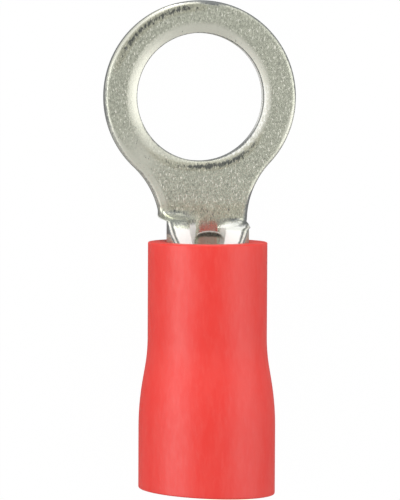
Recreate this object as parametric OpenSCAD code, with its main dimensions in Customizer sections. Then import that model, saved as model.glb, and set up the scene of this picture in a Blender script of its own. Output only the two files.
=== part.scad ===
// Insulated ring terminal: a stamped and rolled sheet-metal terminal in a flared vinyl sleeve.
// The origin is the middle of the stud hole on the seat face, +Z is up, +Y is the tip of the ring,
// and the barrel runs along -Y with its underside level with the seat face.

/* [Sheet metal] */
// Thickness of the plated copper sheet
sheet_t = 0.8; // [0.6:0.05:0.95]
// Softened upper edge of the sheet where it rolls up and along the wings
edge_soft = 0.12; // [0.05:0.01:0.25]

/* [Ring and neck] */
// Outside diameter of the ring
ring_d = 8.0; // [7.4:0.1:10]
// Diameter of the stud hole
stud_d = 5.3; // [4.3:0.1:5.8]
// Softened upper rim of the stud hole
rim_soft = 0.24; // [0.1:0.02:0.3]
// Width of the neck where it meets the barrel
neck_w = 3.55; // [3.3:0.05:3.9]
// Radius of the sweep from the ring into the neck
neck_r = 3.5; // [2.5:0.1:5]
// From the middle of the stud hole to the shoulders where the neck ends
neck_end = 5.13; // [4.9:0.01:6]
// How far the barrel's axis lies to the right of the middle of the stud hole
barrel_shift = 0.175; // [-0.3:0.005:0.3]

/* [Barrel] */
// Outside diameter of the rolled barrel
barrel_d = 3.4; // [3.2:0.05:3.9]
// Length of the barrel behind the neck's shoulders
barrel_len = 5.8; // [5.6:0.1:8]
// Length over which the flat neck rolls up into the barrel
roll_len = 0.36; // [0.3:0.02:0.9]
// How much later the right wing rolls up than the left one
roll_skew = 0.3; // [0:0.02:0.36]
// Turn of the barrel's seam away from its top, to the left
seam_turn = 10; // [-15:1:15]
// Reach of the wings where they start, as an angle from the bottom of the barrel
wing_start = 101; // [95:1:110]
// How fast the front edges of the wings climb, in degrees for each millimetre
wing_climb = 33; // [30:1:60]
// Gap left at the butted seam
seam_gap = 0.05; // [0.02:0.01:0.1]
// Chamfer of the bore at the wire end
mouth_chamfer = 0.2; // [0.05:0.05:0.3]
// Number of serration grooves across the bore
groove_count = 3; // [0:1:4]
// Width of one groove
groove_w = 0.2; // [0.1:0.02:0.3]
// Depth of one groove
groove_deep = 0.06; // [0.03:0.01:0.12]
// Distance from one groove to the next
groove_pitch = 0.5; // [0.4:0.05:0.6]

/* [Insulating sleeve] */
// Bare length of barrel between the neck's shoulders and the sleeve
bare_len = 0.83; // [0.6:0.01:1.4]
// Length of the sleeve along its axis
sleeve_len = 10.36; // [9.5:0.02:13]
// Wall of the sleeve over the barrel
sleeve_wall = 0.745; // [0.5:0.005:1]
// Outside diameter of the flared wire end
flare_d = 5.66; // [5.3:0.02:6.4]
// Wall of the sleeve at the wire end
flare_wall = 0.72; // [0.5:0.02:0.9]
// From the front rim to the start of the flare
flare_from = 3.95; // [3.5:0.05:5]
// Length of the flare
flare_len = 3.7; // [2:0.1:4]
// Share of the flare's length taken by the soft bend at its narrow end
flare_bend = 0.33; // [0.1:0.01:0.45]
// Share of the flare's length taken by the softer bend at its wide end
flare_settle = 0.53; // [0.1:0.01:0.55]
// Length over which the bore widens behind the barrel
entry_len = 3.0; // [2:0.1:4]
// Slant of the cut at the wire end
end_slant = 2.5; // [0:0.1:4]
// Broken edges of the sleeve's two rims
rim_break = 0.08; // [0.02:0.01:0.15]
// Clearance between the barrel and the sleeve pressed over it
sleeve_fit = 0.02; // [0.01:0.005:0.05]

/* [Hidden] */
$fn = 96;

// Small lengths of the construction
over = 1;                  // reach of a cutter beyond what it cuts
step_len = 0.15;           // length over which a wing steps up from the neck's edge
roll_power = 1.5;          // the neck rolls up slowly at first and faster towards its shoulders
bury = 0.02;               // depth of the rolled sheet's last faces inside the tube's wall
end_chamfer = 0.1;         // outer edge of the barrel's wire end
seam_soft = 0.02;          // what is left of the softened edge where the wings meet
soft_angles = [0, 30, 60, 90];
half_steps = 20;           // steps across one half of the rolled sheet
fine_step = roll_len / 10; // step along the sheet where it rolls up
coarse_step = 0.2;         // step along the sheet where the wings close
flare_steps = 16;          // steps along the flare

// Radii and places that follow from the driving sizes
ring_r = ring_d / 2;
stud_r = stud_d / 2;
barrel_r = barrel_d / 2;
bore_r = barrel_r - sheet_t;
mid_r = barrel_r - sheet_t / 2;
axis_x = barrel_shift;
axis_z = barrel_r;
roll_from = neck_end - roll_len;
wings_meet = neck_end + roll_skew + (180 - wing_start) / wing_climb;
tube_from = wings_meet + step_len;
barrel_end = neck_end + barrel_len;
gap_angle = asin(seam_gap / 2 / bore_r);
sleeve_in_r = barrel_r + sleeve_fit;
sleeve_r = sleeve_in_r + sleeve_wall;
sleeve_front = neck_end + bare_len;
flare_r = flare_d / 2;
entry_r = flare_r - flare_wall;

function held(t) = min(1, max(0, t));
function ease(t) = held(t) * held(t) * (3 - 2 * held(t));
function blend(a, b, t) = a + (b - a) * t;

// ---- Outline of the flat tongue. A side is -1 for left and 1 for right. ----

// Middle of the concave sweep beside the neck, which just touches the ring
function sweep_x(side) = axis_x + side * (neck_w / 2 + neck_r);
function sweep_y(side) = -sqrt(pow(ring_r + neck_r, 2) - pow(sweep_x(side), 2));

// From the barrel's axis to the neck's edge, at a distance along the neck from the stud hole
function neck_edge(side, along) =
    neck_w / 2 + neck_r - sqrt(pow(neck_r, 2) - pow(along + sweep_y(side), 2));

module tongue_outline() {
    circle(r = ring_r);
    difference() {
        polygon([[0, 0], for (side = [-1, 1]) [sweep_x(side) / -sweep_y(side), -1] * roll_from]);
        for (side = [-1, 1])
            translate([sweep_x(side), sweep_y(side)]) circle(r = neck_r);
    }
}

// Section of a cutter that softens an upper edge at radius r. The metal lies inside the radius
// where inward is 1 and outside it where inward is -1.
module soft_edge_section(r, soft, inward) {
    curve = [for (a = soft_angles) soft * [1 - sin(a), cos(a) - 1]];
    last = len(curve) - 1;
    first_out = 2 * curve[0] - curve[1];
    last_out = 2 * curve[last] - curve[last - 1];
    points = concat([first_out], curve, [last_out],
                    [[-over, last_out[1]], [-over, over], [first_out[0], over]]);
    translate([r, sheet_t]) polygon([for (p = points) [-inward * p[0], p[1]]]);
}

module tongue() {
    difference() {
        linear_extrude(height = sheet_t) tongue_outline();
        translate([0, 0, -over]) cylinder(h = sheet_t + 2 * over, r = stud_r);
        rotate_extrude() soft_edge_section(stud_r, rim_soft, -1);
    }
}

// ---- The sheet that rolls up from the flat neck into the barrel ----
// Its section is a flat strip with softened upper edges, bent round an axis above it. Across
// the strip, a place is [distance from the middle, height through the sheet].

function side_end(side) = neck_end + (side > 0 ? roll_skew : 0);

// 0 where the strip is flat, 1 where it is bent to the barrel's radius
function curl(side, along) = pow(held((along - side_end(side)) / roll_len + 1), roll_power);

// How far round from the bottom of the barrel a wing reaches
function wing_angle(side, along) =
    min(180 + side * seam_turn - gap_angle,
        wing_start + side * seam_turn + wing_climb * (along - side_end(side)));

function strip_edge(side, along) =
    blend(neck_edge(side, min(along, side_end(side))),
          mid_r * wing_angle(side, along) * PI / 180,
          ease((along - side_end(side)) / step_len + 0.5));

// The softened edge fades out towards the seam
function strip_soft(along) = blend(edge_soft, seam_soft, held((along - neck_end) / (wings_meet - neck_end)));

// How far the faces are drawn in, once the sheet is inside the tube's wall
function drawn_in(along) = bury * held((along - wings_meet) / (tube_from - wings_meet) * 2);

// One station's section: the underside, the right edge, the upper face and the left edge
function strip_places(along) =
    let (inset = drawn_in(along), soft = strip_soft(along),
         reach = [for (side = [-1, 1]) strip_edge(side, along) - inset],
         low = inset, high = sheet_t - inset,
         under = [for (i = [-half_steps:half_steps]) [i / half_steps * reach[i < 0 ? 0 : 1], low]],
         upper = [for (i = [half_steps:-1:-half_steps])
                     [i / half_steps * (reach[i < 0 ? 0 : 1] - soft), high]])
    concat(under,
           [for (a = [90, 60, 30]) [reach[1] - soft * (1 - sin(a)), high - soft * (1 - cos(a))]],
           upper,
           [for (a = [30, 60, 90]) [-reach[0] + soft * (1 - sin(a)), high - soft * (1 - cos(a))]]);

// Where a place across the strip comes to lie once the strip is bent
function bent(place, along) =
    let (side = place[0] < 0 ? -1 : 1, c = curl(side, along))
    c < 0.0001
    ? [axis_x + place[0], -along, place[1]]
    : let (middle = mid_r / c + sheet_t / 2, turn = abs(place[0]) * c / mid_r * 180 / PI)
      [axis_x + side * (middle - place[1]) * sin(turn), -along, middle - (middle - place[1]) * cos(turn)];

module rolled_sheet() {
    fine_count = ceil((roll_len + roll_skew + step_len) / fine_step);
    fine_to = roll_from + fine_count * fine_step;
    coarse_count = ceil((wings_meet - fine_to) / coarse_step);
    stations = concat(
        [for (i = [0:fine_count]) roll_from + i * fine_step],
        [for (i = [1:coarse_count]) blend(fine_to, wings_meet, i / coarse_count)],
        [(wings_meet + tube_from) / 2, tube_from + coarse_step]);
    last = len(stations) - 1;
    across = 2 * half_steps;
    count = 2 * across + 8;
    upper = across + 4;
    skin = [for (s = [0:last - 1]) for (i = [0:count - 1])
               let (a = s * count + i, b = s * count + (i + 1) % count)
               each [[a, b + count, b], [a, a + count, b + count]]];
    // The two end sections: quads between the underside and the upper face, then both edges
    front = concat(
        [for (i = [0:across - 1])
            let (over_i = upper + across - i)
            each [[i, i + 1, over_i - 1], [i, over_i - 1, over_i]]],
        [for (i = [1:3]) [across, across + i, across + i + 1]],
        [for (i = [0:2]) [0, upper + across + i, upper + across + i + 1]]);
    back = [for (f = front) [for (i = [2:-1:0]) f[i] + last * count]];
    polyhedron(points = [for (along = stations) for (p = strip_places(along)) bent(p, along)],
               faces = concat(skin, front, back));
}

// ---- The closed tube of the barrel, with its seam, grooves and chamfered mouth ----

module barrel_tube() {
    length = barrel_end - tube_from;
    middle = (length - mouth_chamfer) / 2;
    grooves = [for (i = [groove_count - 1:-1:0])
                  middle + (i - (groove_count - 1) / 2) * groove_pitch];
    wall = concat(
        [[barrel_r, 0], [barrel_r, length - end_chamfer], [barrel_r - end_chamfer, length],
         [bore_r + mouth_chamfer, length], [bore_r, length - mouth_chamfer]],
        [for (g = grooves) each [[bore_r, g + groove_w / 2], [bore_r + groove_deep, g + groove_w / 2],
                                 [bore_r + groove_deep, g - groove_w / 2], [bore_r, g - groove_w / 2]]],
        [[bore_r, 0]]);
    translate([axis_x, -tube_from, axis_z]) rotate([90, 0, 0])
        difference() {
            rotate_extrude() polygon(wall);
            rotate([0, 0, seam_turn])
                translate([-seam_gap / 2, 0, -over]) cube([seam_gap, barrel_r + over, length + 2 * over]);
        }
}

module terminal() {
    color("lightgray") {
        tongue();
        rolled_sheet();
        barrel_tube();
    }
}

// ---- Insulating sleeve ----

// Rise of the flare from 0 to 1: a straight slope between two soft bends
function flare_rise(t, slope) =
    t < flare_bend ? slope * t * t / (2 * flare_bend)
    : t > 1 - flare_settle ? 1 - slope * (1 - t) * (1 - t) / (2 * flare_settle)
    : slope * (t - flare_bend / 2);

function flare_points(r1, r2, from, length) =
    let (slope = 2 / (2 - flare_bend - flare_settle))
    [for (i = [0:flare_steps]) let (t = i / flare_steps)
        [blend(r1, r2, flare_rise(t, slope)), from + t * length]];

module wire_end_cutter() {
    below = 2 * rim_break;
    beyond = over + flare_r * tan(end_slant);
    translate([0, 0, sleeve_len]) rotate([0, -end_slant, 0])
        rotate_extrude()
            polygon([[0, beyond], [0, -below], [entry_r - rim_break, -below], [entry_r + rim_break, 0],
                     [flare_r - rim_break, 0], [flare_r + rim_break, -below],
                     [flare_r + over, -below], [flare_r + over, beyond]]);
}

module insulating_sleeve() {
    uncut = sleeve_len + over / 2;
    inside_from = max(barrel_end - sleeve_front, rim_break * 2);
    outer = flare_points(sleeve_r, flare_r, flare_from, flare_len);
    inner = flare_points(sleeve_in_r, entry_r, inside_from, entry_len);
    wall = concat(
        [[sleeve_in_r + rim_break, 0], [sleeve_r - rim_break, 0], [sleeve_r, rim_break]],
        outer,
        [[flare_r, uncut], [entry_r, uncut]],
        [for (i = [flare_steps:-1:0]) inner[i]],
        [[sleeve_in_r, rim_break]]);
    color("red")
        translate([axis_x, -sleeve_front, axis_z]) rotate([90, 0, 0])
            difference() {
                rotate_extrude() polygon(wall);
                wire_end_cutter();
            }
}

terminal();
insulating_sleeve();
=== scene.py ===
"""Ring terminal with an insulating sleeve: its finished surfaces, materials, lamps and camera."""

import math

import bmesh
import bpy
import numpy as np
from bpy.props import FloatProperty, FloatVectorProperty, IntProperty, PointerProperty
from bpy.types import Operator, Panel, PropertyGroup
from mathutils import Matrix, Vector


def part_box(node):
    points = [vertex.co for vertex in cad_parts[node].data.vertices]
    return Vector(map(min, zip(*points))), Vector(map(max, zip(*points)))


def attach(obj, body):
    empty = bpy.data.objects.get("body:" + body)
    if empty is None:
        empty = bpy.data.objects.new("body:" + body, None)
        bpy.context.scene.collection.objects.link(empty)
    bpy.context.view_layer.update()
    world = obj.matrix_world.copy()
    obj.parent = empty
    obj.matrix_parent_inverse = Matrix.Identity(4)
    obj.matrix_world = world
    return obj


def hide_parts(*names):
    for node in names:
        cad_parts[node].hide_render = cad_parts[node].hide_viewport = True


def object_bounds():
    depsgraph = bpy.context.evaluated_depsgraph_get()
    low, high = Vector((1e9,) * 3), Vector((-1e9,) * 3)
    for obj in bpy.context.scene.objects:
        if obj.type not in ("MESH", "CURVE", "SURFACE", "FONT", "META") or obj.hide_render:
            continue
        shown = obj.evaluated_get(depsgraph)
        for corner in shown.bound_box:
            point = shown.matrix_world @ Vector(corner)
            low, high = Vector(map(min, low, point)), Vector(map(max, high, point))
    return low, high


bl_info = {
    "name": "Ring terminal",
    "version": (1, 0, 0),
    "blender": (4, 5, 0),
    "location": "3D View > Sidebar > Ring terminal",
    "description": "Makes an insulated ring terminal and the stage it lies on",
    "category": "Add Mesh",
}

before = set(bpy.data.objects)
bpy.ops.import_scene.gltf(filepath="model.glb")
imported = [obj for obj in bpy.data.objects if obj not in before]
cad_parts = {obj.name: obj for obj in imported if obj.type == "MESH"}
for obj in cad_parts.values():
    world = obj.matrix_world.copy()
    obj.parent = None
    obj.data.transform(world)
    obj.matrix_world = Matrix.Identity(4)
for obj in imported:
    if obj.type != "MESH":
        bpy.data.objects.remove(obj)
SOLIDS_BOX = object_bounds()
LOW, HIGH = SOLIDS_BOX

MM = 0.001
SAME_PLACE = 2e-7  # places closer than this, in metres, are merged
MARGIN = 0.03  # share of its solid's size by which a finished piece may pass it
# how much painted shade, painted highlight, handling marks and painted glare the tin has, how free of
# grain it is and how smooth
TIN_LAYERS = ("dull", "bright", "marks", "frost", "even", "smooth")
# each lamp's place and width, in millimetres
LAMPS = {
    "left_lamp": ((-107, -10, 63), 92),
    "right_lamp": ((101, -10, 64), 112),
    "far_lamp": ((0, 120, 50), 70),
}


# ---------------------------------------------------------------- settings


def length(name, value, description):
    """A length in millimetres, kept as a Blender length."""
    return FloatProperty(
        name=name, description=description, default=value * MM, min=0.0, unit="LENGTH", precision=5
    )


def signed_length(name, value, description):
    """A place or offset in millimetres, kept as a Blender length."""
    return FloatProperty(
        name=name, description=description, default=value * MM, unit="LENGTH", precision=5
    )


def angle(name, degrees, description):
    """An angle in degrees, kept as a Blender angle."""
    return FloatProperty(
        name=name, description=description, default=math.radians(degrees), subtype="ANGLE"
    )


def colour(name, value, description):
    """A surface colour."""
    return FloatVectorProperty(
        name=name, description=description, default=value, subtype="COLOR", min=0.0, max=1.0
    )


def share(name, value, description):
    """A plain number between 0 and 1."""
    return FloatProperty(
        name=name, description=description, default=value, min=0.0, max=1.0, subtype="FACTOR"
    )


def power(name, watts, description):
    """The power of a lamp in watts."""
    return FloatProperty(name=name, description=description, default=watts, min=0.0, unit="POWER")


class TerminalSizes(PropertyGroup):
    """Sizes of the metal terminal"""

    sheet: length("Sheet", 0.8, "Thickness of the metal sheet")
    ring: length("Ring", 8.0, "Width across the ring")
    stud: length("Stud hole", 5.3, "Width of the stud hole")
    rim_wide: length("Hole edge", 0.5, "Width of the stud hole's drawn-in upper edge")
    rim_deep: length("Hole edge depth", 0.125, "Depth of the stud hole's drawn-in upper edge")
    edge_soft: length("Upper edge depth", 0.12, "Depth of the outline's softened upper edge")
    edge_wide: length("Upper edge", 0.19, "Width of the outline's softened upper edge")
    burr_soft: length("Lower edge", 0.06, "Softening of the outline's lower edge")
    neck: length("Neck", 3.58, "Width of the neck at its narrowest")
    sweep: length("Sweep", 3.5, "Radius of the concave sweeps beside the neck")
    neck_end: length("Neck end", 5.1, "From the stud hole to the neck's shoulders")
    shift: signed_length("Shift", 0.175, "Sideways offset of the barrel from the stud hole")
    barrel: length("Barrel", 3.4, "Outer width of the barrel")
    barrel_length: length("Barrel length", 5.83, "From the shoulders to the barrel's wire end")
    roll: length("Roll", 0.48, "Length over which the neck rolls up")
    skew: length("Skew", 0.32, "How much later the right side rolls up than the left")
    seam_turn: angle("Seam turn", 10.0, "Turn of the seam away from the top")
    wing_start: angle("Wing start", 101.0, "How far round the wings reach at the shoulders")
    wing_climb: angle("Wing climb", 33.0, "Further reach of the wings for each millimetre")
    wing_step: length("Wing step", 0.15, "Length over which the neck steps out to a wing")
    seam_gap: length("Seam gap", 0.05, "Gap left at the seam")
    seam_soft: length("Seam edges", 0.03, "Softening of the sheet's edges along the seam")
    mouth_chamfer: length("Bore chamfer", 0.2, "Chamfer of the bore at the wire end")
    end_chamfer: length("Outer chamfer", 0.1, "Chamfer round the barrel at the wire end")
    groove: length("Groove", 0.2, "Width of a gripping groove in the bore")
    groove_deep: length("Groove depth", 0.06, "Depth of a gripping groove")
    groove_pitch: length("Groove pitch", 0.5, "From one gripping groove to the next")
    lip: length("Lip", 0.17, "Width of the lip along the outer side of a wing's cut face")
    lip_groove: length("Lip groove", 0.05, "Depth of the groove between the lip and the cut face")
    swell: length("Swell", 0.15, "Thickening of the wings beside their cut faces")
    mouth: length("Mouth", 1.25, "Width of the barrel's mouth in the trough")
    mouth_shift: signed_length("Mouth shift", 0.2, "Offset of the mouth from the barrel's middle")
    mouth_dip: length("Mouth dip", 0.05, "Dip of the trough in front of the barrel's mouth")
    mouth_step: length("Mouth step", 0.22, "Step down from the trough into the barrel's mouth")
    grooves: IntProperty(
        name="Grooves", description="Gripping grooves in the bore", default=3, min=0, max=6
    )


class SleeveSizes(PropertyGroup):
    """Sizes of the insulating sleeve"""

    front: length("Front", 5.96, "From the stud hole to the sleeve's front rim")
    long: length("Length", 10.31, "Length of the sleeve")
    bore: length("Bore", 3.44, "Width of the bore round the barrel")
    body: length("Body", 4.93, "Outer width of the straight part")
    flare: length("Flare", 5.66, "Outer width of the wide wire end")
    entry: length("Entry", 4.22, "Width of the opening for the wire's insulation")
    flare_from: length("Flare start", 3.95, "From the front rim to the flare")
    flare_long: length("Flare length", 3.7, "Length of the flare")
    flare_bend: share("First bend", 0.33, "Share of the flare taken by its first bend")
    flare_settle: share("Last bend", 0.53, "Share of the flare taken by its last bend")
    widen_from: length("Bore flare start", 4.97, "From the front rim to where the bore widens")
    widen_long: length("Bore flare length", 3.0, "Length over which the bore widens")
    rim_soft: length("Rim edge", 0.06, "Softening of the rims' edges")
    slant: angle("Slant", 2.5, "Slant of the cut at the wire end")


class Finishes(PropertyGroup):
    """Colours of the finishes"""

    tin: colour("Tin", (0.66, 0.68, 0.56), "Matte tin plating")
    # pale tin for specks and even places, and the colour of painted highlights
    tin_pale_and_highlight: colour("Pale tin and painted highlight", (0.88, 0.87, 0.77), "Tin in specks and even places, and painted highlights on edges")
    # dark tin for pits and handling marks, and the colour of painted shade
    tin_dark_and_shade: colour("Dark tin and painted shade", (0.09, 0.10, 0.105), "Tin in pits and marks, and painted shade on edges")
    tin_olive: colour("Handled tin", (0.52, 0.49, 0.33), "Tin under the tint of handling")
    # near white for the painted glare
    glare_white: colour("Painted glare", (0.99, 1.0, 0.97), "Painted glare on the wings' cut faces")
    vinyl: colour("Vinyl", (0.875, 0.040, 0.028), "Vinyl of the sleeve")
    vinyl_light: colour("Pale vinyl", (0.90, 0.088, 0.070), "Paler streaks in the vinyl")
    floor: colour("Floor", (0.35, 0.35, 0.35), "Floor under the terminal")


class StageSettings(PropertyGroup):
    """Camera and lamps"""

    distance: length("Camera distance", 130.0, "From the camera to the terminal")
    side: angle("Camera side", 8.0, "How far the camera stands to the left")
    ahead: angle("Camera ahead", 3.4, "How far the camera stands towards the ring")
    twist: angle("Camera twist", 0.27, "Turn of the camera about its own axis")
    aim_x: signed_length("Aim across", 0.011, "Middle of the picture, across the terminal")
    aim_y: signed_length("Aim along", -6.362, "Middle of the picture, along the terminal")
    aim_z: signed_length("Aim height", 0.6, "Middle of the picture, above the tongue's underside")
    lens: FloatProperty(name="Lens", description="Focal length", default=225.0, min=1.0)
    world: FloatProperty(name="World", description="Level of the plain world", default=0.42)
    left_lamp: power("Left lamp", 0.082, "Power of the left lamp")
    right_lamp: power("Right lamp", 0.06, "Power of the right lamp")
    far_lamp: power("Far lamp", 0.1, "Power of the far lamp")


class RingTerminalSettings(PropertyGroup):
    """Everything that can be set on the ring terminal"""

    terminal: PointerProperty(type=TerminalSizes)
    sleeve: PointerProperty(type=SleeveSizes)
    finish: PointerProperty(type=Finishes)
    stage: PointerProperty(type=StageSettings)


def millimetres(group, *names):
    """The named lengths of a settings group, in millimetres."""
    return [getattr(group, name) / MM for name in names]


# ---------------------------------------------------------------- shapes


def held(t):
    """t kept between 0 and 1."""
    return np.clip(t, 0.0, 1.0)


def ease(t):
    """Smooth step: 3 t squared minus 2 t cubed, with t kept between 0 and 1."""
    t = held(t)
    return t * t * (3 - 2 * t)


def rising(value, start, over):
    """0 up to start and 1 from start plus over, with a smooth step between."""
    return ease((value - start) / over)


def falling(value, start, over):
    """1 up to start and 0 from start plus over, with a smooth step between."""
    return 1 - rising(value, start, over)


def bell(value, middle, width):
    """A bell curve: e to the power of minus the square of the distance over the width."""
    return np.exp(-(((value - middle) / width) ** 2))


def blend(a, b, t):
    """a where t is 0 and b where t is 1, in a straight line between."""
    return a + (b - a) * t


def between(low, high, count):
    """count places from low to high, drawn together towards both ends by a half cosine."""
    return blend(low, high, (1 - np.cos(np.linspace(0, math.pi, count))) / 2)


def stations(*runs):
    """Places along a length: each run is (from, to, step) and the ends are kept once."""
    parts = [np.linspace(a, b, max(2, round((b - a) / step) + 1)) for a, b, step in runs]
    return np.unique(np.round(np.concatenate(parts), 6))


def with_height(flat, heights):
    """A grid of (x, y) places given one height, or one for each of its columns."""
    z = np.broadcast_to(np.reshape(heights, (1, -1, 1)), flat.shape[:2] + (1,))
    return np.concatenate([flat, z], 2)


def grid_quads(rows, columns, wrap_rows=False, wrap_columns=False):
    """Quads joining neighbouring places of a rows by columns grid: row, column to corner number
    row times columns plus column, with the last row or column joined to the first if wrapped."""
    r = np.arange(rows if wrap_rows else rows - 1)[:, None]
    c = np.arange(columns if wrap_columns else columns - 1)[None, :]
    r_next, c_next = (r + 1) % rows, (c + 1) % columns
    corners = [r * columns + c, r * columns + c_next, r_next * columns + c_next, r_next * columns + c]
    return np.stack(np.broadcast_arrays(*corners), axis=-1)


class Terminal:
    """The metal sheet as a surface. Its flat blank is a ring with a neck and two wings, and a
    place in it is (across, height, along): across from the barrel's middle line, height through
    the sheet from its underside, along from the stud hole towards the wire end."""

    def __init__(self, sizes):
        for name in (
            "sheet", "rim_wide", "rim_deep", "edge_soft", "edge_wide", "burr_soft", "neck", "sweep",
            "neck_end", "shift", "roll", "skew", "wing_step", "seam_soft", "groove", "groove_deep",
            "groove_pitch", "mouth_chamfer", "end_chamfer", "lip", "lip_groove", "swell", "mouth",
            "mouth_shift", "mouth_dip", "mouth_step",
        ):
            setattr(self, name, getattr(sizes, name) / MM)
        for name in ("grooves", "seam_turn", "wing_start", "wing_climb"):
            setattr(self, name, getattr(sizes, name))
        ring, stud, barrel, barrel_length, gap = millimetres(
            sizes, "ring", "stud", "barrel", "barrel_length", "seam_gap"
        )
        self.ring_r, self.stud_r, self.barrel_r = ring / 2, stud / 2, barrel / 2
        self.mid_r = self.barrel_r - self.sheet / 2
        self.gap_angle = math.asin(gap / 2 / (self.barrel_r - self.sheet))
        self.roll_from = self.neck_end - self.roll
        self.meet = self.neck_end + self.skew + (math.pi - self.wing_start) / self.wing_climb
        self.barrel_end = self.neck_end + barrel_length
        # well inside the sleeve, where the wings' finer forms can fade away unseen
        self.hidden = self.neck_end + 1.5

    # -- the blank's outline

    def sweep_centre(self, side):
        """Centre of the concave sweep beside the neck, which just touches the ring: across by
        half the neck plus the sweep's radius, and at the two radii's sum from the stud hole."""
        x = self.shift + side * (self.neck / 2 + self.sweep)
        return x, -np.sqrt((self.ring_r + self.sweep) ** 2 - x * x)

    def neck_edge(self, side, along):
        """Distance of the neck's edge from the middle line: half the neck's width, plus how far
        the sweep's circle has turned away from it."""
        _, centre = self.sweep_centre(side)
        return self.neck / 2 + self.sweep - np.sqrt(self.sweep**2 - (along + centre) ** 2)

    def side_end(self, side):
        """Where a side of the neck has rolled up fully."""
        return self.neck_end + np.where(side > 0, self.skew, 0.0)

    def curl(self, side, along):
        """0 where the sheet is flat and 1 where it has the barrel's radius: the share of the roll
        passed, to the power 3."""
        return held((along - self.side_end(side)) / self.roll + 1) ** 3

    def wing_reach(self, side, along):
        """Half width of the sheet: the neck's edge, then after a short step the arc that a wing
        covers, which grows with the length until the wings meet at the seam."""
        turned = side * self.seam_turn
        arc = np.minimum(
            math.pi + turned - self.gap_angle,
            self.wing_start + turned + self.wing_climb * (along - self.side_end(side)),
        )
        stepped = rising(along, self.side_end(side) - self.wing_step / 2, self.wing_step)
        neck = self.neck_edge(side, np.minimum(along, self.side_end(side)))
        return blend(neck, self.mid_r * arc, stepped)

    def bent(self, across, height, along):
        """Rolls the blank up: a place at a distance across goes round an axis above the sheet by
        that distance over the radius, and the axis comes down from far above to the barrel's."""
        side = np.where(across < 0, -1.0, 1.0)
        c = self.curl(side, along)
        flat = c < 1e-4
        tight = np.maximum(c, 1e-4)
        middle = self.mid_r / tight + self.sheet / 2
        turn = np.abs(across) * tight / self.mid_r
        x = np.where(flat, across, side * (middle - height) * np.sin(turn))
        z = np.where(flat, height, middle - (middle - height) * np.cos(turn))
        return np.stack(np.broadcast_arrays(self.shift + x, -along, z), axis=-1)

    # -- the section of an edge

    def edge_places(self, burr, deep, wide, grooved):
        """The cut edge of the sheet from below to above, as (inset, height): a quarter round,
        the straight cut and a quarter of an ellipse, without the two end places. Where grooved
        is 1 the cut has a narrow groove, a bell curve, above the lip on its lower side. Each of
        the four is one number, or a number for each section."""
        burr, deep, wide, grooved = (np.reshape(v, (-1, 1)) for v in (burr, deep, wide, grooved))
        lower = np.linspace(0, math.pi / 2, 5)[1:]
        upper = np.linspace(0, math.pi / 2, 11)[:-1]
        straight = blend(burr, self.sheet - deep, np.linspace(0, 1, 20)[1:-1])
        groove = grooved * self.lip_groove * bell(straight, self.lip, 0.035)
        inset = [burr * (1 - np.sin(lower)), groove, wide * (1 - np.cos(upper))]
        height = [burr * (1 - np.cos(lower)), straight, self.sheet - deep * (1 - np.sin(upper))]
        return np.concatenate(inset, 1), np.concatenate(height, 1)

    def outer_line(self, cut):
        """1 on the straight cut of an edge and the steep start of its softened upper edge, where cut
        is the height as a share of the sheet. This is where a line of painted shade goes."""
        return falling(cut, 0.89, 0.06)

    def soft_line(self, cut):
        """A weak line on the shallow part of the softened upper edge, fading towards the face, where
        a painted highlight goes.
        """
        return 0.2 * rising(cut, 0.93, 0.03) * (1 - 0.8 * rising(cut, 0.98, 0.02))

    # -- the flat tongue

    def outline(self, half_steps=50):
        """The tongue's outline as places and outward directions, from the right shoulder round
        the ring to the left one: the right sweep, the ring's arc and the left sweep."""
        places, outward = [], []
        for side in (1, -1):
            cx, cy = self.sweep_centre(side)
            x_end = self.shift + side * self.neck_edge(side, self.roll_from)
            first = math.atan2(-self.roll_from - cy, side * (x_end - cx))
            last = math.atan2(-cy, side * (0 - cx))
            turn = np.linspace(first % (2 * math.pi), last % (2 * math.pi), half_steps)
            x, y = np.cos(turn), np.sin(turn)
            places.append(np.stack([cx + side * self.sweep * x, cy + self.sweep * y], 1))
            outward.append(np.stack([-side * x, -y], 1))
        start = math.atan2(places[0][-1][1], places[0][-1][0])
        stop = math.atan2(places[1][-1][1], places[1][-1][0]) % (2 * math.pi)
        turn = np.linspace(start, stop, 6 * half_steps)[1:-1]
        rays = np.stack([np.cos(turn), np.sin(turn)], 1)
        places = np.concatenate([places[0], self.ring_r * rays, places[1][::-1]])
        outward = np.concatenate([outward[0], rays, outward[1][::-1]])
        # towards the shoulders an edge's section turns square to the middle line
        square = falling(self.roll_from + places[:, 1], 0, 0.8)[:, None]
        sideways = np.stack([np.sign(places[:, 0]), 0 * places[:, 0]], 1)
        outward = blend(outward, sideways, square)
        return places, outward / np.linalg.norm(outward, axis=1)[:, None]

    def rim_share(self, turn):
        """How much of its full width the hole's drawn-in edge has: less below and at the right."""
        return (1 - 0.5 * bell(turn, -1.5, 0.55)) * (1 - 0.3 * rising(np.cos(turn), 0.2, 0.6))

    def hole_section(self, aim):
        """The stud hole's section in each direction, as (radius, height): a quarter round, the
        wall and the drawn-in upper edge, a curve of power 1.6. The third value is the number of
        places below that edge."""
        share = self.rim_share(aim)[:, None]
        lower = np.linspace(0, math.pi / 2, 5)[:-1]
        climb = np.linspace(0, 1, 8)[:-1]
        drawn = np.linspace(0, 1, 14)
        foot = self.sheet - self.rim_deep * share
        out = [self.burr_soft * (1 - np.sin(lower)) + 0 * share, 0 * (climb + share)]
        up = [self.burr_soft * (1 - np.cos(lower)) + 0 * share, blend(self.burr_soft, foot, climb)]
        out.append(self.rim_wide * drawn * share)
        up.append(self.sheet - self.rim_deep * share * (1 - drawn) ** 1.6)
        return self.stud_r + np.concatenate(out, 1), np.concatenate(up, 1), len(lower) + len(climb)

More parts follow.
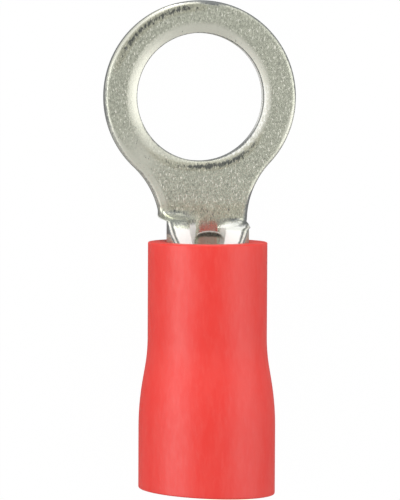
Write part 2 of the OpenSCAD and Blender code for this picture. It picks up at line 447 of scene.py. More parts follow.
    def tongue(self, across_steps=45):
        """Rays from the stud hole to the outline. Along a ray come the hole's wall and drawn-in
        edge, the upper face, the outline's edge and the underside. Rays that end at the rolled
        neck have no edge there."""
        places, outward = self.outline()
        u = np.linspace(-1, 1, 2 * across_steps + 1)[1:-1]
        reach = self.wing_reach(np.where(u < 0, -1.0, 1.0), self.roll_from)
        line = np.full_like(u, -self.roll_from)
        top_end = np.stack([self.shift + u * (reach - self.edge_wide), line], 1)
        low_end = np.stack([self.shift + u * (reach - self.burr_soft), line], 1)
        top_out = np.concatenate([places - outward * self.edge_wide, top_end])
        low_out = np.concatenate([places - outward * self.burr_soft, low_end])
        section = self.edge_places(self.burr_soft, self.edge_soft, self.edge_wide, 0.0)
        inset, height = (part[0, ::-1] for part in section)
        edge = places[:, None, :] - outward[:, None, :] * inset[None, :, None]
        edge = np.concatenate([edge, np.repeat(top_end[:, None, :], len(inset), 1)])
        aim = np.arctan2(top_out[:, 1], top_out[:, 0])
        radial = np.stack([np.cos(aim), np.sin(aim)], 1)[:, None, :]
        hole_r, hole_z, walls = self.hole_section(aim)
        hole = np.concatenate([radial * hole_r[:, :, None], hole_z[:, :, None]], 2)
        outwards, inwards = between(0, 1, 18)[1:, None], between(0, 1, 10)[:-1, None]
        top = blend(radial * hole_r[:, -1:, None], top_out[:, None, :], outwards)
        under = blend(low_out[:, None, :], radial * hole_r[:, :1, None], inwards)
        faces = [with_height(top, self.sheet), with_height(edge, height), with_height(under, 0)]
        grid = np.concatenate([hole, *faces], 1)
        rows, columns = grid.shape[:2]
        holes = hole.shape[1]
        first = holes + top.shape[1]
        past = first + len(inset)
        at_neck = np.arange(rows) >= len(places) - 1
        on_edge = (np.arange(columns) >= first - 1) & (np.arange(columns) < past)
        quads = grid_quads(rows, columns, True, True)[~(at_neck[:, None] & on_edge)]

        values = {key: np.zeros((rows, columns)) for key in TIN_LAYERS}
        self.finish_hole(values, aim, walls, holes)
        facing = np.append(outward[:, 0], np.sign(u))[:, None]
        x, y = grid[:, first:past, 0], grid[:, first:past, 1]
        dull, bright = self.outline_layers(x, y, height / self.sheet, facing)
        values["dull"][:, first:past] = dull
        values["bright"][:, first:past] = bright
        x, y = grid[:, walls:past, 0], grid[:, walls:past, 1]
        values["marks"][:, walls:past] = np.maximum(self.rim_marks(x, y), 0.2 * rising(-y, 4.1, 0.6))
        values["even"][:, walls:past] = self.even_bands(x, y, places)
        return grid, quads, values

    def finish_hole(self, values, aim, walls, holes):
        """Layers of the stud hole: a wall with a painted highlight, painted glare at the right, where
        the left lamp lights it, and painted shade below; a line of painted shade round its top; and a
        drawn-in edge with a painted highlight, strongest at the right, and painted glare at the
        right."""
        below = rising(-np.sin(aim), 0.3, 0.5)[:, None]
        drawn = np.linspace(0, 1, holes - walls)
        # the painted highlight on the drawn-in edge is strongest at the right
        painted_edge_tone = 0.6 + 0.7 * rising(np.cos(aim), 0.3, 0.5)[:, None]
        at_right = rising(np.cos(aim + 0.5), 0.3125, 0.625)[:, None]
        dull, bright, frost = values["dull"], values["bright"], values["frost"]
        # painted shade on the lower wall and in a line round the wall's top
        dull[:, :walls] = 0.8 * below
        dull[:, walls - 1 : walls + 1] = 0.9
        dull[:, walls + 1] = 0.7 * below[:, 0]
        bright[:, : walls - 1] = 0.8
        bright[:, walls:holes] = 0.75 * (1 - drawn) ** 0.6 * painted_edge_tone
        frost[:, : walls - 2] = rising(np.cos(aim + 0.2), 0.2, 0.5)[:, None]
        frost[:, walls:holes] = 0.55 * (1 - drawn) ** 0.4 * at_right

    def outline_layers(self, x, y, cut, facing):
        """How much painted shade and painted highlight the outline's edge has. Its cut carries a line
        of painted shade, heavier at the right of the neck and round the top, finer at the upper left,
        and lighter where it faces left towards the left lamp. Its softened edge carries a band of
        painted shade, and a painted highlight that is brightest along the top and the upper left."""
        high_left = rising(-x, 0.5, 2) * rising(y, -1, 1.5)
        heavier = 0.07 * rising(x, 0.5, 1) * rising(-y, 3.4, 1) + 0.035 * rising(y, -0.5, 1)
        heavier = heavier + 0.06 * bell(x, 0.4, 0.5) * (y > 0) - 0.17 * high_left
        # where the cut faces the left lamp its painted shade is lightened
        lit = rising(-facing, 0.1875, 0.625) * rising(-y, 0.3, 1.5)
        line = self.outer_line(cut - heavier) * (1 - 0.75 * lit * rising(cut, 0.3, 0.2))
        upper = rising(y, 0.8, 1.2) * falling(x, 0, 1.5)
        # at the upper left the softened edge gets a painted highlight in place of the band of painted
        # shade
        glint_zone = high_left * rising(y, 0.3, 1.2)
        glow = 0.3 * glint_zone * rising(cut, 0.86, 0.05)
        bright = np.maximum(self.soft_line(cut) * (1 + 3.5 * upper), glow)
        # a band of painted shade on the softened edge, stronger at the lower left and along the left
        painted_edge_tone = 0.15 + 0.35 * rising(-y, 2.5, 1) * rising(-x, 0, 0.5)
        painted_edge_tone = painted_edge_tone + 0.3 * rising(-x, 2.5, 1) * (1 - upper)
        painted_edge_tone = painted_edge_tone * rising(cut, 0.8, 0.1) * falling(cut, 0.94, 0.05)
        painted_edge_tone = painted_edge_tone * (1 - 0.9 * upper) * (1 - glint_zone)
        return np.maximum(line, painted_edge_tone), bright

    def rim_marks(self, x, y):
        """Where handling has dulled the ring: windows round the hole's edge below and along the
        rim at the upper left, each a bell curve across the rim times a smooth step round it."""
        radius, turn = np.hypot(x, y), np.arctan2(y, x)
        edge = self.stud_r + self.rim_wide * self.rim_share(turn)
        turn = np.degrees(turn)
        low = 0.6 * rising(turn, -150, 50) + 0.5 * rising(turn, -105, 20)
        low = low * falling(turn, -60, 35) * bell(radius, edge - 0.02, 0.12)
        rim = rising(turn, 82, 20) * falling(turn, 143, 25) * bell(radius, self.ring_r - 0.29, 0.12)
        return np.maximum(low, 0.9 * rim)

    def even_bands(self, x, y, places):
        """Where the face has no grain: bands along the outline, wide beside the neck on the left
        and narrower on its right, a band round the hole, and a worn patch at the lower left. Each
        is a smooth step of the distance to the outline or to the hole's edge, and the patch is a
        bell curve."""
        away = np.hypot(x[..., None] - places[:, 0], y[..., None] - places[:, 1]).min(-1)
        left = rising(-x, 0, 0.5) * (0.3 + 0.7 * rising(-y, 0.5, 2.5))
        right = rising(x, 0, 0.5) * (0.45 + 0.55 * falling(np.abs(y + 1.2), 0.4, 0.6))
        wide = 0.42 * left + 0.27 * right * falling(y, 1, 2)
        band = rising(wide - away, 0, 0.12)
        edge = self.stud_r + self.rim_wide * self.rim_share(np.arctan2(y, x))
        hole = rising(edge - np.hypot(x, y), 0, 0.2) * rising(y, -1.8, 1.2)
        worn = np.exp(-((x + 2.5) ** 2 + ((y + 2.5) / 1.3) ** 2) / 0.7)
        return np.maximum(np.maximum(0.9 * band, 0.8 * worn), 0.75 * hole)

    # -- the rolled neck, the wings and the barrel

    def barrel_stations(self):
        """Places along the rolled part: close together where it rolls and on both sides of the
        grooves' and chamfers' sharp edges, and further apart between. Also the grooves' places."""
        end, beside = self.barrel_end, 0.012
        seam_from = self.meet + self.wing_step
        middle = (seam_from + end - self.mouth_chamfer) / 2
        grooves = middle + (np.arange(self.grooves) - (self.grooves - 1) / 2) * self.groove_pitch
        sharp = [g + s * self.groove / 2 for g in grooves for s in (-1, 1)]
        sharp += [end - self.mouth_chamfer, end - self.end_chamfer]
        edges = [place + s * beside for place in sharp for s in (-1, 1)] + [end - beside]
        rolled_up, hidden = self.neck_end + self.skew + 0.12, self.hidden - 0.2
        plain = stations(
            (self.roll_from, rolled_up, 0.018),
            (rolled_up, hidden, 0.03),
            (hidden, seam_from, 0.09),
            (seam_from, end, 0.15),
        )
        return np.unique(np.round(np.concatenate([plain, edges]), 6)), grooves

    def rolled(self, across_steps=45):
        """Sections of the strip, each bent round by the roll. A section goes along the
        underside, up the right edge, back along the upper face and down the left edge."""
        along, grooves = self.barrel_stations()
        closing = held((along - self.neck_end) / (self.meet - self.neck_end))
        softened = (self.burr_soft, self.edge_soft, self.edge_wide)
        burr, deep, wide = (blend(soft, self.seam_soft, closing) for soft in softened)
        past_end = along - self.barrel_end
        low = self.end_chamfer * held(past_end / self.end_chamfer + 1)
        high = self.sheet - self.mouth_chamfer * held(past_end / self.mouth_chamfer + 1)
        for groove in grooves:
            high = high - self.groove_deep * (np.abs(along - groove) < self.groove / 2)
        # the wire end's face closes on the middle of the sheet
        close = (low[-1] + high[-1]) / 2
        ends = ((along, along[-1]), (burr, 0), (deep, 0), (wide, 0), (low, close), (high, close))
        along, burr, deep, wide, low, high = (np.append(*pair)[:, None] for pair in ends)
        shown = falling(along, self.hidden, 0.6)
        grooved = shown * rising(along, self.neck_end - 0.15, 0.3)
        swell = shown * self.swell * rising(along, self.neck_end - 0.1, 0.3)
        inset, height = self.edge_places(burr, deep, wide, grooved)
        cut = height / self.sheet
        height = low + cut * (high + swell - low)
        u = np.linspace(-1, 1, 2 * across_steps + 1)[None, :]
        right, left = self.wing_reach(1, along), self.wing_reach(-1, along)
        reach = np.where(u < 0, left, right)
        under = u * (reach - burr)
        # the upper face runs back, from the right to the left
        side, reach = np.where(u < 0, -1, 1)[:, ::-1], reach[:, ::-1]
        over = u[:, ::-1] * (reach - wide)
        face = high + swell * rising(np.abs(over) - reach + wide, -0.35, 0.35)
        across = np.concatenate([under, right - inset, over, (inset - left)[:, ::-1]], 1)
        height = np.concatenate([low + 0 * u, height, face, height[:, ::-1]], 1)
        grid = self.bent(across, height, along)
        rows, columns = grid.shape[:2]
        upper = slice(u.size + inset.shape[1], 2 * u.size + inset.shape[1])
        grid[:, upper], trough = self.trough(grid[:, upper], along)

        # on the underside a patch of painted shadow below the left wing's start
        start = rising(along, self.neck_end, 0.1) * falling(along, self.neck_end + 0.48, 0.15)
        below = {"dull": start * rising(-u, 0.45, 0.2)}
        right, left = self.edge_layers(1, along, cut), self.edge_layers(-1, along, cut)
        left = {key: layer[:, ::-1] for key, layer in left.items()}
        face = self.face_layers(along, over, side, reach, trough)
        counts = (u.size, inset.shape[1], u.size, inset.shape[1])
        values = {}
        for key in TIN_LAYERS:
            blanks = [np.zeros((rows, count)) for count in counts]
            parts = [part.get(key, blank) for part, blank in zip((below, right, face, left), blanks)]
            values[key] = np.concatenate(parts, 1)
        return grid, grid_quads(rows, columns, False, True).reshape(-1, 4), values

    def since_glare(self, side, along):
        """How far a place is past the start of a wing's painted glare, which lies before the roll's
        end on the right and after it on the left."""
        return along - self.side_end(side) + np.where(side > 0, 0.33, -0.12)

    def edge_layers(self, side, along, cut):
        """Layers of a side's edge: the outline's cut with its painted shade gives way, where the wing
        starts, to a lip with a painted highlight, a line of painted shade along the groove and a cut
        face under painted glare. The left one has a mottled foot of painted shade."""
        since = along - self.side_end(side)
        lip = self.lip / self.sheet
        above = rising(cut, lip + 0.03, 0.06)
        wing_begun = rising(since, -0.22 if side > 0 else -0.34, 0.2)
        # where the left cut faces the left lamp its painted shade is lightened
        lit = 0 if side > 0 else 0.75 * rising(cut, 0.3, 0.2)
        outer = self.outer_line(cut - 0.08 * (side > 0)) * (1 - lit)
        # painted shade along the lower corner, along the outline's cut and in the groove beside the
        # lip
        dull = np.maximum(falling(cut, 0.02, 0.06), blend(outer, bell(cut, lip, 0.05), wing_begun))
        if side < 0:
            # the left one's foot is a patch of painted shade
            foot = rising(since, -0.1, 0.1) * falling(since, 0.02, 0.26)
            dull = np.maximum(dull, 0.72 * foot * above)
        # the lip gets a painted highlight
        lip_highlight = wing_begun * falling(cut, lip - 0.05, 0.05)
        frost = rising(self.since_glare(side, along), 0, 0.36) * above
        return {
            "dull": dull,
            "bright": (1 - wing_begun) * self.soft_line(cut) + lip_highlight,
            "frost": np.maximum(frost, 0.45 * lip_highlight),
        }

    def face_layers(self, along, over, side, reach, trough):
        """Layers of the rolled upper face: even bands beside the flat neck's edges, marks at the
        shoulders, painted shade on the rise, painted glare on the wings' inner sides, and in the
        trough a painted highlight on the arch's brim with painted shadow behind it, and an even,
        smooth dip before it."""
        since, later = along - self.side_end(side), self.since_glare(side, along)
        away = np.abs(over)
        # painted glare on the wings' inner sides
        inner = np.where(
            side < 0, rising(later - 0.14 * away, -0.26, 0.3), rising(later + 0.25 * away, 0.22, 0.4)
        )
        inner = inner * trough["beyond"] * (along < self.hidden + 0.9)
        # painted shade on the rise where the neck starts to roll
        rise = rising(since, -0.45, 0.15) * falling(later, 0.05 * side, 0.2) * rising(away, 0.3, 0.5)
        mark = 0.75 * bell(since, -0.34, 0.11) * bell(away, 1.2, 0.4)
        band = rising(away - reach, np.where(side < 0, -0.42, -0.27), 0.12)
        band = band * falling(along, self.neck_end, 0.1)
        return {
            "dull": np.maximum(trough["shaded"], 0.45 * rise),
            "bright": trough["brim"],
            "marks": np.maximum(mark, 0.2 * falling(along, self.neck_end - 0.05, 0.3)),
            "frost": np.maximum(inner, 0.75 * trough["brim"]),
            "even": np.maximum(0.9 * band, 0.55 * trough["dipped"]),
            "smooth": trough["glossy"],
        }

    def trough(self, grid, along):
        """The upper face between the wings. The rolled floor is levelled to the tongue's face
        out to near the wings. In front of an arch it dips a little, and behind the arch it steps
        down into the barrel's mouth. All of it fades back to the plain bore inside the sleeve.
        Also gives where the arch's brim lies, which gets a painted highlight, the painted shadow
        behind it, the sides beyond it, the dip and its glossy part."""
        across, z = grid[..., 0] - self.shift - self.mouth_shift, grid[..., 2]
        x, half = np.abs(across), self.mouth / 2
        level = rising(along, self.neck_end - 0.16, 0.3) * falling(along, self.hidden + 0.3, 0.5)
        past = along - self.neck_end - 0.5 - 0.14 * (x / half) ** 2 - 0.2 * (x / half) ** 8
        inside = falling(x, half - 0.1, 0.2)
        dip = (1 - (1 - rising(past, -0.6, 0.8)) ** 1.2) * inside
        step = rising(past, 0, 0.2) * inside
        floor = blend(self.sheet, z, rising(x, 0.25, 0.5))
        wanted = floor - self.mouth_dip * dip - self.mouth_step * step
        grid = grid.copy()
        grid[..., 2] = np.where(z < self.barrel_r, blend(z, wanted, level), z)
        right = across > 0
        behind = rising(past, 0, 0.05)
        shaded = behind * falling(past + 0.15 * x, 0.17, 0.08) * falling(x, 0.4, 0.2)
        glossy = rising(past + 0.15 * right, -0.5, 0.4) * (1 - 0.8 * behind)
        return grid, {
            "brim": bell(past, -0.02, 0.03) * inside,
            "shaded": 0.8 * shaded,
            "beyond": rising(x + 0.14 * right, 0.48, 0.2),
            "dipped": rising(past, -0.36, 0.12) * falling(x, half + 0.15, 0.25),
            "glossy": glossy * inside,
        }


def sleeve_surface(sizes, turns=288):
    """The sleeve as a section carried once round the barrel's axis. The section goes along the
    outside, where the flare is a straight slope between two soft bends, round the wire end, back
    along the bore and round the front rim. Near the wire end every place moves along by its
    distance across times the slant."""
    front, long, bore, body, flare, entry = millimetres(
        sizes, "front", "long", "bore", "body", "flare", "entry"
    )
    flare_from, flare_long, rim = millimetres(sizes, "flare_from", "flare_long", "rim_soft")
    widen_from, widen_long = millimetres(sizes, "widen_from", "widen_long")
    bend, settle = sizes.flare_bend, sizes.flare_settle
    slope = 2 / (2 - bend - settle)

    def rise(t):
        t = held(t)
        start = slope * t * t / (2 * bend)
        stop = 1 - slope * (1 - t) ** 2 / (2 * settle)
        return np.where(t < bend, start, np.where(t > 1 - settle, stop, slope * (t - bend / 2)))

    arc = np.linspace(0, math.pi / 2, 9)
    flare_to = flare_from + flare_long
    s = stations((rim, flare_from, 0.16), (flare_from, flare_to, 0.08), (flare_to, long - rim, 0.16))
    outer_r = blend(body, flare, rise((s - flare_from) / flare_long)) / 2
    inner_r = blend(bore, entry, rise((s - widen_from) / widen_long)) / 2
    face = np.linspace(0, 1, 6)[1:-1]
    # a rim's edge starts along its face and ends along the tube's side, or the other way
    start_in, start_out = rim * (1 - np.sin(arc[:-1])), rim * (1 - np.cos(arc[:-1]))
    stop_in, stop_out = rim * (1 - np.cos(arc[1:])), rim * (1 - np.sin(arc[1:]))
    r = np.concatenate([
        body / 2 - start_in, outer_r, flare / 2 - stop_in,
        blend(flare / 2 - rim, entry / 2 + rim, face),
        entry / 2 + start_in, inner_r[::-1], bore / 2 + stop_in,
        blend(bore / 2 + rim, body / 2 - rim, face),
    ])
    along = np.concatenate([
        start_out, s, long - stop_out, 0 * face + long,
        long - start_out, s[::-1], stop_out, 0 * face,
    ])
    turn = np.linspace(0, 2 * math.pi, turns, endpoint=False)[:, None]
    x, z = r * np.cos(turn), r * np.sin(turn)
    moved = along + x * math.tan(sizes.slant) * rising(along, long - 1.6, 1.4)
    return x, z, front + moved


# ---------------------------------------------------------------- meshes


def make_piece(name, points, quads, material, values):
    """A mesh object at the origin from places in millimetres, with its doubles merged and its
    faces turned outwards. values holds numbers per place, kept as attributes."""
    used, quads = np.unique(quads, return_inverse=True)
    quads = quads.reshape(-1, 4)
    mesh = bpy.data.meshes.new(name)
    mesh.from_pydata((points[used] * MM).tolist(), [], quads.tolist())
    for key, numbers in values.items():
        layer = mesh.attributes.new(key, "FLOAT", "POINT")
        layer.data.foreach_set("value", np.ascontiguousarray(numbers[used], dtype=np.float32))
    work = bmesh.new()
    work.from_mesh(mesh)
    bmesh.ops.remove_doubles(work, verts=work.verts, dist=SAME_PLACE)
    bmesh.ops.dissolve_degenerate(work, edges=work.edges, dist=SAME_PLACE / 20)
    bmesh.ops.recalc_face_normals(work, faces=work.faces)
    open_edges = sum(1 for e in work.edges if not e.is_manifold)
    work.to_mesh(mesh)
    work.free()
    if open_edges:
        raise RuntimeError(f"{name} has {open_edges} open edges")
    mesh.shade_smooth()
    mesh.materials.append(material)
    piece = bpy.data.objects.new(name, mesh)
    bpy.context.scene.collection.objects.link(piece)
    return piece


def keep_inside(name, piece, nodes):
    """Stops if a finished piece reaches further past the solid it stands for than the margin."""
    low, high = (np.array(corner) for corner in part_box(nodes))
    places = np.array([v.co for v in piece.data.vertices])
    over = np.maximum(low - places.min(0), places.max(0) - high)
    if np.any(over > MARGIN * (high - low)):
        raise RuntimeError(f"{name} reaches {over.max() / MM:.3f} mm past its solid")


# ---------------------------------------------------------------- materials


class Nodes:
    """A material under construction, with one line for each kind of node."""

    def __init__(self, name):
        self.material = bpy.data.materials.new(name)
        self.material.use_nodes = True
        self.tree = self.material.node_tree
        self.tree.nodes.clear()
        self.surface = self.add("ShaderNodeBsdfPrincipled")
        output = self.add("ShaderNodeOutputMaterial")
        self.join(self.surface.outputs["BSDF"], output.inputs["Surface"])

    def put(self, value, socket):
        """Joins a node's output to the socket, or sets the socket to a plain value."""
        if isinstance(value, bpy.types.NodeSocket):
            self.join(value, socket)
        else:
            socket.default_value = value

    def join(self, source, target):
        self.tree.links.new(source, target)

    def feed(self, node, inputs):
        for key, value in inputs.items():
            self.put(value, node.inputs[key])

    def add(self, kind, inputs=None, **settings):
        node = self.tree.nodes.new(kind)
        for key, value in settings.items():
            setattr(node, key, value)
        self.feed(node, inputs or {})
        return node

    def places(self, scale, turn=0.0):
        """Object places in millimetres, stretched by scale and then turned about the height."""
        place = self.add("ShaderNodeTexCoord").outputs["Object"]
        stretch = [k / MM for k in scale]
        inputs = {"Vector": place, "Scale": stretch, "Rotation": (0, 0, turn)}
        return self.add("ShaderNodeMapping", inputs).outputs["Vector"]

    def noise(self, scale, detail=3.0, rough=0.5, twist=0.0, turn=0.0):
        inputs = {"Scale": 1.0, "Detail": detail, "Roughness": rough, "Distortion": twist}
        inputs["Vector"] = self.places(scale, turn)
        return self.add("ShaderNodeTexNoise", inputs).outputs["Fac"]

    def value_of(self, name):
        return self.add("ShaderNodeAttribute", attribute_name=name).outputs["Fac"]

    def span(self, value, low, high, to_low=0.0, to_high=1.0, step="SMOOTHSTEP"):
        inputs = {"Value": value, "From Min": low, "From Max": high}
        inputs.update({"To Min": to_low, "To Max": to_high})
        return self.add("ShaderNodeMapRange", inputs, interpolation_type=step).outputs["Result"]

    def maths(self, kind, a, b):
        return self.add("ShaderNodeMath", {0: a, 1: b}, operation=kind).outputs[0]

    def times(self, first, *others):
        for other in others:
            first = self.maths("MULTIPLY", first, other)
        return first

    def plus(self, first, *others):
        for other in others:
            first = self.maths("ADD", first, other)
        return first

    def less(self, a, b):
        return self.maths("SUBTRACT", a, b)

    def mix(self, factor, a, b):
        """Colour a where the factor is 0 and b where it is 1. Each is a socket or a plain colour."""
        a, b = (c if isinstance(c, bpy.types.NodeSocket) else (*c, 1.0) for c in (a, b))
        return self.add("ShaderNodeMix", {0: factor, 6: a, 7: b}, data_type="RGBA").outputs[2]

    def bump(self, height, distance, strength, **under):
        """A bumped normal: height times a distance in millimetres, over another normal if given."""
        inputs = {"Height": height, "Strength": strength, "Distance": distance * MM, **under}
        return self.add("ShaderNodeBump", inputs).outputs["Normal"]


def scaled(value, factor):
    """A colour times a number, kept at 1 or below."""
    return [min(1.0, part * factor) for part in value]


def tin_finish(colours):
    """Matte tin plating. Soft clouds come first, then fine grain, bright specks and dark pits, which
    fade where the tin is even, smooth, or carries painted highlight or painted glare. Over them lie
    even places and painted highlights, the tint and ragged dark marks of handling, painted glare and
    painted shade."""
    n = Nodes("tin_plating")
    dull, bright, marks, frost, even, smooth = (n.value_of(key) for key in TIN_LAYERS)
    plain = n.less(n.span(bright, 0.15, 0.9, 1.0, 0.1), n.times(frost, 0.9))
    plain = n.times(n.maths("MAXIMUM", plain, 0.0), n.span(even, 0.0, 1.0, 1.0, 0.1))
    plain = n.times(plain, n.span(smooth, 0.0, 1.0, 1.0, 0.25, "LINEAR"))
    cloud = n.noise((1.3, 0.8, 1.3), detail=4, rough=0.6)
    grain = n.noise((14, 10, 14), detail=2, rough=0.6)
    ragged = n.noise((12, 5, 12), detail=3, rough=0.7, twist=0.4)
    specks = n.noise((19, 7, 19), detail=1, twist=0.3)
    specks = n.times(n.span(specks, 0.62, 0.665), plain)
    pits = n.noise((11, 6, 11), detail=2, rough=0.6, twist=0.5)
    pits = n.times(n.span(pits, 0.6, 0.72), plain)

    base = n.mix(n.span(cloud, 0.3, 0.7), scaled(colours.tin, 0.93), scaled(colours.tin, 1.07))
    grained = n.mix(n.span(grain, 0.3, 0.7), scaled(colours.tin, 0.72), scaled(colours.tin, 1.2))
    base = n.mix(n.times(plain, 0.75), base, grained)
    base = n.mix(n.times(specks, 0.7), base, colours.tin_pale_and_highlight)
    base = n.mix(n.times(pits, 0.35), base, colours.tin_dark_and_shade)
    base = n.mix(n.times(even, 0.5), base, colours.tin_pale_and_highlight)
    # painted highlights on the hole's edge, the outline's softened edge, the lips and the arch's brim
    base = n.mix(n.times(bright, 0.8), base, colours.tin_pale_and_highlight)
    base = n.mix(n.span(marks, 0.0, 0.2, 0.0, 0.3), base, colours.tin_olive)
    spoiled = n.plus(n.times(marks, 0.5), n.times(ragged, 1.8))
    base = n.mix(n.times(n.span(spoiled, 1.08, 1.42), 0.85), base, colours.tin_dark_and_shade)
    # the painted glare has a ragged border
    uneven = n.less(ragged, 0.5)
    frost = n.times(n.span(n.plus(frost, uneven), 0.3, 0.7), n.span(frost, 0.0, 0.15))
    # painted glare: near white on the wings' cut faces and inner sides and on the hole's right wall,
    # which the left lamp lights
    base = n.mix(n.times(frost, 0.95), base, colours.glare_white)
    # half shaded places are mottled: the painted shade times (1 - painted shade) times the mottle is
    # added
    mottle = n.span(n.plus(grain, n.times(uneven, 0.8)), 0.3, 0.7, 1.8, -0.5, "LINEAR")
    dull = n.plus(dull, n.times(dull, n.less(1.0, dull), mottle))
    dull = n.maths("MAXIMUM", dull, 0.0)
    # painted shade on the edges, in the grooves, on the hole's lower wall and behind the arch
    base = n.mix(n.times(dull, 0.92), base, colours.tin_dark_and_shade)

    matte = n.plus(
        frost, n.times(bright, 0.35), n.times(specks, 0.65), n.times(even, 0.35), n.times(dull, 1.6)
    )
    rough = n.span(even, 0.0, 1.0, 0.42, 0.34, "LINEAR")
    n.feed(n.surface, {
        "Base Color": base,
        "Metallic": n.less(1.0, n.maths("MINIMUM", matte, 1.0)),
        "Roughness": n.times(rough, n.span(smooth, 0.0, 1.0, 1.0, 0.52, "LINEAR")),
        "Normal": n.bump(n.times(grain, plain), 0.012, 0.7),
    })
    return n.material


def vinyl_finish(colours):
    """Soft satin vinyl: a faint orange skin, paler soft streaks along the sleeve and a gentle
    glow of the stock under the surface."""
    n = Nodes("red_vinyl")
    streaks = n.noise((1.8, 0.5, 1.8), detail=4, rough=0.6, twist=0.4, turn=0.45)
    fine = n.noise((7, 1.6, 7), detail=3, rough=0.6, twist=0.3, turn=0.4)
    skin = n.noise((4.5, 2.2, 4.5), detail=5, rough=0.6)
    base = n.mix(n.span(streaks, 0.35, 0.68, 0.0, 0.35), colours.vinyl, colours.vinyl_light)
    base = n.mix(n.span(fine, 0.45, 0.75, 0.0, 0.35), base, colours.vinyl_light)
    n.feed(n.surface, {
        "Base Color": base,
        "Roughness": n.span(skin, 0.3, 0.7, 0.42, 0.5),
        "Subsurface Weight": 0.3,
        "Subsurface Radius": (1.0, 0.25, 0.15),
        "Subsurface Scale": 0.6 * MM,
        "Specular IOR Level": 0.62,
        "Normal": n.bump(fine, 0.012, 0.5, Normal=n.bump(skin, 0.02, 0.5)),
    })
    return n.material


def floor_finish(colours):
    """Pale floor that shows white to the camera and in reflections, with a faint shadow."""
    n = Nodes("floor_paper")
    n.feed(n.surface, {"Base Color": (*colours.floor, 1.0), "Roughness": 0.9})
    glow = n.add("ShaderNodeEmission", {"Strength": 1.02})
    path = n.add("ShaderNodeLightPath")
    mirrored = n.times(path.outputs["Is Glossy Ray"], 0.12)
    seen = n.maths("MAXIMUM", path.outputs["Is Camera Ray"], path.outputs["Is Transmission Ray"])
    seen = n.times(n.maths("MAXIMUM", seen, mirrored), 0.97)
    shaders = {0: seen, 1: n.surface.outputs["BSDF"], 2: glow.outputs["Emission"]}
    mixed = n.add("ShaderNodeMixShader", shaders)
    output = next(x for x in n.tree.nodes if x.type == "OUTPUT_MATERIAL")
    n.join(mixed.outputs["Shader"], output.inputs["Surface"])
    return n.material


# ---------------------------------------------------------------- operators


class RINGTERMINAL_OT_terminal(Operator):
    """Make the tin-plated ring, neck and barrel in one piece"""

    bl_idname = "ring_terminal.make_terminal"
    bl_label = "Metal terminal"

    def execute(self, context):
        settings = context.scene.ring_terminal
        shape = Terminal(settings.terminal)
        tongue, tongue_quads, tongue_layers = shape.tongue()
        rolled, rolled_quads, rolled_layers = shape.rolled()
        tongue_places = tongue.reshape(-1, 3)
        points = np.concatenate([tongue_places, rolled.reshape(-1, 3)])
        quads = np.concatenate([tongue_quads, rolled_quads + len(tongue_places)])
        values = {
            key: np.append(tongue_layers[key].ravel(), rolled_layers[key].ravel())
            for key in TIN_LAYERS
        }
        piece = make_piece("tin_terminal", points, quads, tin_finish(settings.finish), values)
        keep_inside("tin_terminal", piece, "terminal")
        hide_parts("terminal")
        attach(piece, "root")
        return {"FINISHED"}


class RINGTERMINAL_OT_sleeve(Operator):
    """Make the vinyl sleeve round the barrel"""

    bl_idname = "ring_terminal.make_sleeve"
    bl_label = "Insulating sleeve"

    def execute(self, context):
        settings = context.scene.ring_terminal
        x, z, along = sleeve_surface(settings.sleeve)
        shift = settings.terminal.shift / MM
        lift = settings.terminal.barrel / 2 / MM
        points = np.stack([x + shift, -along, z + lift], -1)
        rows, columns = points.shape[:2]
        quads = grid_quads(rows, columns, True, True).reshape(-1, 4)
        vinyl = vinyl_finish(settings.finish)
        piece = make_piece("vinyl_sleeve", points.reshape(-1, 3), quads, vinyl, {})
        keep_inside("vinyl_sleeve", piece, "insulating_sleeve")
        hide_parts("insulating_sleeve")
        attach(piece, "root")
        return {"FINISHED"}


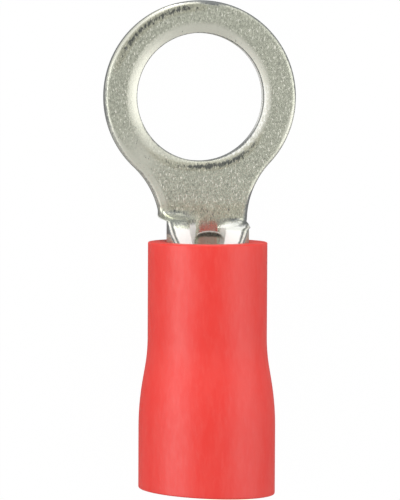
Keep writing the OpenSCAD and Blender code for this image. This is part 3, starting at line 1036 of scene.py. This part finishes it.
class RINGTERMINAL_OT_stage(Operator):
    """Lay the floor, and set the lamps, the world and the camera"""

    bl_idname = "ring_terminal.set_stage"
    bl_label = "Stage"

    def execute(self, context):
        scene = context.scene
        settings = scene.ring_terminal
        stage = settings.stage
        self.lay_floor(settings)
        for name, (place, size) in LAMPS.items():
            self.hang_lamp(name, place, size, getattr(stage, name))
        world = bpy.data.worlds.new("plain_world")
        world.use_nodes = True
        ground = world.node_tree.nodes["Background"]
        ground.inputs["Color"].default_value = (1, 1, 1, 1)
        ground.inputs["Strength"].default_value = stage.world
        scene.world = world
        self.place_camera(scene, stage)
        scene.view_settings.view_transform = "Standard"
        return {"FINISHED"}

    def lay_floor(self, settings):
        """A wide plane that touches the ring's tip and the sleeve's front rim from below. A hair
        is left between them, because pieces that share a plane flicker."""
        sleeve, terminal = settings.sleeve, settings.terminal
        tip = terminal.ring / 2
        rim = -(sleeve.front + sleeve.rim_soft)
        drop = terminal.barrel / 2 - sleeve.body / 2
        slope = -drop / (tip - rim)
        half, hair = 0.6, 2e-5
        corners = [
            (x, y, (y - tip) * slope - hair)
            for x, y in ((-half, -half), (half, -half), (half, half), (-half, half))
        ]
        mesh = bpy.data.meshes.new("floor")
        mesh.from_pydata(corners, [], [(0, 1, 2, 3)])
        mesh.materials.append(floor_finish(settings.finish))
        floor = bpy.data.objects.new("floor", mesh)
        bpy.context.scene.collection.objects.link(floor)

    def hang_lamp(self, name, place, size, power):
        """A square soft lamp, placed and sized in millimetres and turned towards the middle of
        the terminal."""
        lamp = bpy.data.lights.new(name, "AREA")
        lamp.shape = "SQUARE"
        lamp.size = size * MM
        lamp.energy = power
        holder = bpy.data.objects.new(name, lamp)
        at = Vector(place) * MM
        aim = (LOW + HIGH) / 2
        holder.location = at
        holder.rotation_euler = (aim - at).to_track_quat("-Z", "Y").to_euler()
        bpy.context.scene.collection.objects.link(holder)

    def place_camera(self, scene, stage):
        """The camera looks almost straight down: from the aim it stands back by the distance,
        to the left by one angle and towards the ring by the other."""
        data = bpy.data.cameras.new("camera")
        data.lens = stage.lens
        data.sensor_width = 36.0
        camera = bpy.data.objects.new("camera", data)
        back = Vector((-math.tan(stage.side), math.tan(stage.ahead), 1.0)).normalized()
        aim = Vector((stage.aim_x, stage.aim_y, stage.aim_z))
        right = Vector((0, 1, 0)).cross(back).normalized()
        up = back.cross(right)
        turned = Matrix.Rotation(stage.twist, 3, back)
        basis = Matrix((turned @ right, turned @ up, back)).transposed()
        camera.matrix_world = Matrix.Translation(aim + back * stage.distance) @ basis.to_4x4()
        data.clip_start, data.clip_end = 0.005, 5.0
        scene.collection.objects.link(camera)
        scene.camera = camera


class RINGTERMINAL_PT_panel(Panel):
    """Sizes, finishes and stage of the ring terminal"""

    bl_label = "Ring terminal"
    bl_idname = "RINGTERMINAL_PT_panel"
    bl_space_type = "VIEW_3D"
    bl_region_type = "UI"
    bl_category = "Ring terminal"

    def draw(self, context):
        layout = self.layout
        settings = context.scene.ring_terminal
        for group in ("terminal", "sleeve", "finish", "stage"):
            box = layout.box()
            box.label(text=group.capitalize())
            values = getattr(settings, group)
            for name in values.__annotations__:
                box.prop(values, name)
        for operator in OPERATORS:
            layout.operator(operator.bl_idname)


OPERATORS = (RINGTERMINAL_OT_terminal, RINGTERMINAL_OT_sleeve, RINGTERMINAL_OT_stage)
CLASSES = (
    TerminalSizes,
    SleeveSizes,
    Finishes,
    StageSettings,
    RingTerminalSettings,
    *OPERATORS,
    RINGTERMINAL_PT_panel,
)


def register():
    for cls in CLASSES:
        bpy.utils.register_class(cls)
    bpy.types.Scene.ring_terminal = PointerProperty(type=RingTerminalSettings)


def unregister():
    del bpy.types.Scene.ring_terminal
    for cls in reversed(CLASSES):
        bpy.utils.unregister_class(cls)


def main():
    """Registers the add-on and makes the terminal, the sleeve and the stage in order."""
    register()
    bpy.ops.ring_terminal.make_terminal()
    bpy.ops.ring_terminal.make_sleeve()
    bpy.ops.ring_terminal.set_stage()


if __name__ == "__main__":
    main()
